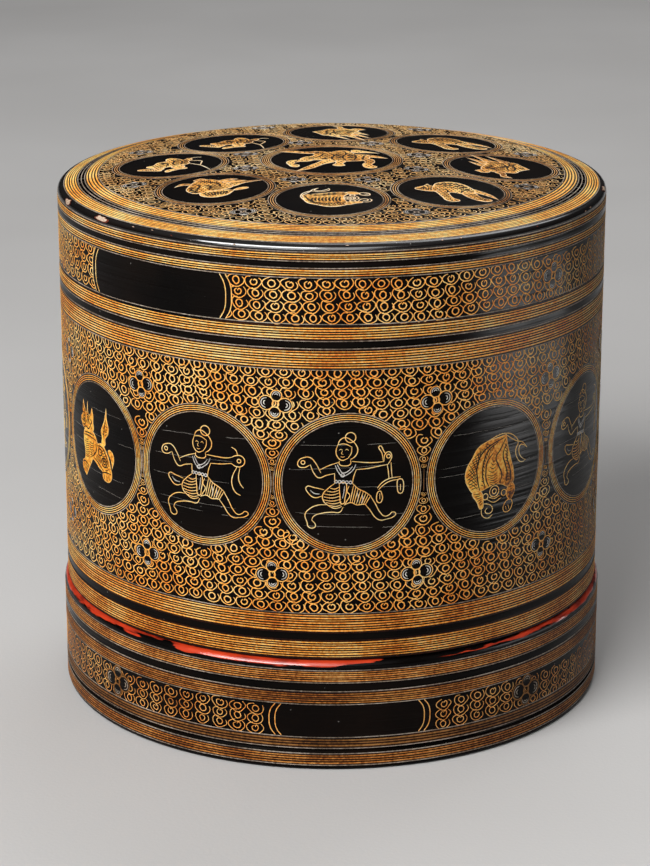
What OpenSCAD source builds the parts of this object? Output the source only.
// Cylindrical lacquered betel box with a deep slip-over lid and two inner trays.
// The origin is the centre of the ring that the box stands on, with +Z up.

/* [Lid] */
// Outside diameter of the lid
lid_d = 200; // [150:1:260]
// Thickness of the lid's wall
lid_wall_t = 2.8; // [2:0.1:5]
// Height of the lid's straight side, from its lower edge to its rounded shoulder
lid_side_h = 146.8; // [120:0.1:200]
// Radius of the rounding on the lid's lower outer edge
lid_edge_round = 1; // [0.4:0.1:1.4]
// Height of the hoop round the lid's mouth
lid_mouth_hoop_h = 9.3; // [4:0.1:20]
// Radius of the lid's rounded black shoulder
lid_shoulder_round = 2.2; // [1:0.1:5]
// Height of the shoulder hoop below its rounding
lid_hoop_h = 4.7; // [4:0.1:12]
// Width of the shoulder hoop, measured inwards
lid_hoop_w = 6.5; // [6:0.1:12]

/* [Lid top] */
// Thickness of the lid's domed top
top_t = 3; // [2:0.1:6]
// Thickness of the top's edge, where it sits in the shoulder hoop
top_edge_t = 2.7; // [2:0.1:5]
// Width of the sloped border round the top
border_w = 14.2; // [8:0.1:30]
// Rise of the sloped border
border_rise = 3.3; // [1:0.1:8]
// Rise of the dome inside the border
dome_rise = 3.8; // [1:0.1:12]

/* [Foot] */
// How far the foot stands out past the lid
foot_step = 1.3; // [0.5:0.1:6]
// Height of the bottom hoop
foot_ring_h = 7.4; // [5:0.1:15]
// Radius of the rounding on the bottom hoop's lower edge
foot_edge_round = 1.5; // [0.5:0.1:3]
// Depth of the groove between the bottom hoop and the foot's wall
foot_groove = 0.6; // [0.2:0.1:1.5]
// Height of the foot's wall, from the bottom hoop to the shoulder hoop
foot_sleeve_h = 30.8; // [15:0.1:60]
// Height of the red shoulder hoop that the lid seats on
foot_shoulder_h = 2.9; // [2.4:0.1:8]
// Radius of the rounding on the red shoulder hoop
foot_shoulder_round = 2.4; // [0.8:0.1:2.4]

/* [Base] */
// Gap between the lid and the inner cylinder, on the radius
lid_gap = 0.6; // [0.4:0.1:2]
// Thickness of the inner cylinder's wall
base_wall_t = 2.6; // [1.8:0.1:5]
// Thickness of the floor
base_floor_t = 3; // [2:0.1:6]
// Width of the seat that the bottom hoop gives the floor
floor_seat = 4; // [2:0.1:10]
// Height of the hoop on the inner cylinder's mouth
mouth_hoop_h = 6; // [3:0.1:12]
// Width of the ledge that carries the trays
ledge_w = 5; // [4:0.1:10]
// Height of that ledge's hoop
ledge_h = 5; // [3:0.1:10]

/* [Trays] */
// Gap between the trays and the inner cylinder, on the radius
tray_gap = 0.6; // [0.4:0.1:2]
// Thickness of a tray's wall
tray_wall_t = 2.2; // [1.6:0.1:4]
// Thickness of a tray's floor
tray_floor_t = 2.4; // [1.6:0.1:4]
// Height of the hoop under a tray
tray_foot_h = 3; // [2:0.1:6]
// Width of the hoop under a tray
tray_foot_w = 4.5; // [4.2:0.1:8]
// Height of a tray's rim hoop
tray_rim_h = 4; // [3:0.1:8]
// Width of a tray's rim hoop
tray_rim_w = 2.8; // [2.4:0.1:5]
// Height of the lower tray
lower_tray_h = 40; // [25:0.5:50]
// Height of the upper tray
upper_tray_h = 34; // [25:0.5:50]
// How far the upper tray stands out of the inner cylinder, for the fingers
tray_proud = 3; // [1:0.5:10]
// Free height between the upper tray and the lid's shoulder hoop
headroom = 15; // [5:0.5:30]
// Radius of the rounding on the rims of the trays and of the inner cylinder
rim_round = 0.8; // [0.3:0.1:1]

/* [Hidden] */

BLACK = "#1d1713";
GOLD = "#b9792f";
RED = "#c8401f";

// Facets of a full turn, steps of a rounded corner and steps of the dome's arc
turn_steps = 128;
round_steps = 8;
dome_steps = 24;

// Radii from the outside inwards
lid_r = lid_d / 2;
lid_r_in = lid_r - lid_wall_t;
foot_r = lid_r + foot_step;
base_r = lid_r_in - lid_gap;
base_r_in = base_r - base_wall_t;
tray_r = base_r_in - tray_gap;
tray_r_in = tray_r - tray_wall_t;
top_r = lid_r - lid_shoulder_round;
field_r = top_r - border_w;

// Heights from the ground up to the lid's seat, then on to the top of the dome
sleeve_z = foot_ring_h;
shoulder_z = sleeve_z + foot_sleeve_h;
seat_z = shoulder_z + foot_shoulder_h;
side_top_z = seat_z + lid_side_h;
lid_hoop_z = side_top_z - lid_hoop_h;
top_edge_z = side_top_z + lid_shoulder_round;
top_seat_z = top_edge_z - top_edge_t;
field_z = top_edge_z + border_rise;
dome_z = field_z + dome_rise;
dome_r = (field_r * field_r + dome_rise * dome_rise) / (2 * dome_rise);

// Heights inside, hung down from the lid's shoulder hoop
tray_top_z = lid_hoop_z - headroom;
mouth_z = tray_top_z - tray_proud;
upper_tray_z = tray_top_z - upper_tray_h;
lower_tray_z = upper_tray_z - lower_tray_h;

// Points of an arc about [cx, cz]
function arc(cx, cz, r, from, to, steps) =
    [for (i = [0 : steps]) let (a = from + (to - from) * i / steps) [cx + r * cos(a), cz + r * sin(a)]];

// One corner of a section: a quarter arc, or the sharp point where the radius is 0
function corner(x, z, r, sx, sz, from) =
    r > 0 ? arc(x + sx * r, z + sz * r, r, from, from + 90, round_steps) : [[x, z]];

// A ring between two radii, with its outer and inner edges rounded as asked
module hoop(r_in, r_out, z, h, out_low = 0, out_top = 0, in_top = 0) {
    section = concat(
        corner(r_out, z, out_low, -1, 1, -90),
        corner(r_out, z + h, out_top, -1, -1, 0),
        corner(r_in, z + h, in_top, 1, -1, 90),
        [[r_in, z]]
    );
    rotate_extrude($fn = turn_steps) polygon(section);
}

// A flat round plate
module disc(r, z, t) {
    translate([0, 0, z]) cylinder(r = r, h = t, $fn = turn_steps);
}

// The hoop that the box stands on, with a seat for the floor and a cut for the groove
module foot_ring() {
    section = concat(
        corner(foot_r, 0, foot_edge_round, -1, 1, -90),
        [
            [foot_r, foot_ring_h - foot_groove],
            [foot_r - foot_groove, foot_ring_h],
            [base_r_in - floor_seat, foot_ring_h],
            [base_r_in - floor_seat, 0]
        ]
    );
    color(GOLD) rotate_extrude($fn = turn_steps) polygon(section);
}

module base_floor() {
    color(RED) disc(base_r_in, sleeve_z, base_floor_t);
}

// The foot's wall round the inner cylinder
module foot_sleeve() {
    section = [
        [base_r, sleeve_z],
        [foot_r - foot_groove, sleeve_z],
        [foot_r, sleeve_z + foot_groove],
        [foot_r, shoulder_z],
        [base_r, shoulder_z]
    ];
    color(GOLD) rotate_extrude($fn = turn_steps) polygon(section);
}

// The rounded hoop whose flat top is the lid's seat
module foot_shoulder_hoop() {
    color(RED) hoop(base_r, foot_r, shoulder_z, foot_shoulder_h, out_top = foot_shoulder_round);
}

module base_wall() {
    color(RED) hoop(base_r_in, base_r, sleeve_z, mouth_z - mouth_hoop_h - sleeve_z);
}

module base_mouth_hoop() {
    color(BLACK) hoop(base_r_in, base_r, mouth_z - mouth_hoop_h, mouth_hoop_h, 0, rim_round, rim_round);
}

module tray_ledge_hoop() {
    color(RED) hoop(base_r_in - ledge_w, base_r_in, lower_tray_z - ledge_h, ledge_h);
}

// A tray in four pieces, standing at height z
module tray_foot_hoop(z) {
    color(BLACK) hoop(tray_r - tray_foot_w, tray_r, z, tray_foot_h);
}

module tray_floor(z) {
    color(RED) disc(tray_r_in, z + tray_foot_h, tray_floor_t);
}

module tray_wall(z, h) {
    color(GOLD) hoop(tray_r_in, tray_r, z + tray_foot_h, h - tray_foot_h - tray_rim_h);
}

module tray_rim_hoop(z, h) {
    color(BLACK) hoop(tray_r - tray_rim_w, tray_r, z + h - tray_rim_h, tray_rim_h, 0, rim_round, rim_round);
}

module lid_mouth_hoop() {
    color(GOLD) hoop(lid_r_in, lid_r, seat_z, lid_mouth_hoop_h, out_low = lid_edge_round);
}

module lid_wall() {
    z = seat_z + lid_mouth_hoop_h;
    color(GOLD) hoop(lid_r_in, lid_r, z, lid_hoop_z - z);
}

// The rounded hoop that joins the wall to the top, with a rebate for the top's edge
module lid_shoulder_hoop() {
    section = concat(
        [[lid_r, lid_hoop_z]],
        arc(top_r, side_top_z, lid_shoulder_round, 0, 90, round_steps),
        [
            [top_r, top_seat_z],
            [lid_r - lid_hoop_w, top_seat_z],
            [lid_r - lid_hoop_w, lid_hoop_z]
        ]
    );
    color(BLACK) rotate_extrude($fn = turn_steps) polygon(section);
}

// The top: a low dome with a sloped border, its edge in the shoulder hoop's rebate
module lid_top() {
    dome_cz = dome_z - dome_r;
    under_r = dome_r - top_t;
    section = concat(
        arc(0, dome_cz, dome_r, 90, acos(field_r / dome_r), dome_steps),
        [
            [top_r, top_edge_z],
            [top_r, top_seat_z],
            [lid_r - lid_hoop_w, top_seat_z]
        ],
        arc(0, dome_cz, under_r, acos(field_r / under_r), 90, dome_steps)
    );
    color(GOLD) rotate_extrude($fn = turn_steps) polygon(section);
}

foot_ring();
base_floor();
foot_sleeve();
foot_shoulder_hoop();
base_wall();
base_mouth_hoop();
tray_ledge_hoop();
tray_foot_hoop(lower_tray_z);  // lower_tray_foot_hoop
tray_floor(lower_tray_z);  // lower_tray_floor
tray_wall(lower_tray_z, lower_tray_h);  // lower_tray_wall
tray_rim_hoop(lower_tray_z, lower_tray_h);  // lower_tray_rim_hoop
tray_foot_hoop(upper_tray_z);  // upper_tray_foot_hoop
tray_floor(upper_tray_z);  // upper_tray_floor
tray_wall(upper_tray_z, upper_tray_h);  // upper_tray_wall
tray_rim_hoop(upper_tray_z, upper_tray_h);  // upper_tray_rim_hoop
lid_mouth_hoop();
lid_wall();
lid_shoulder_hoop();
lid_top();
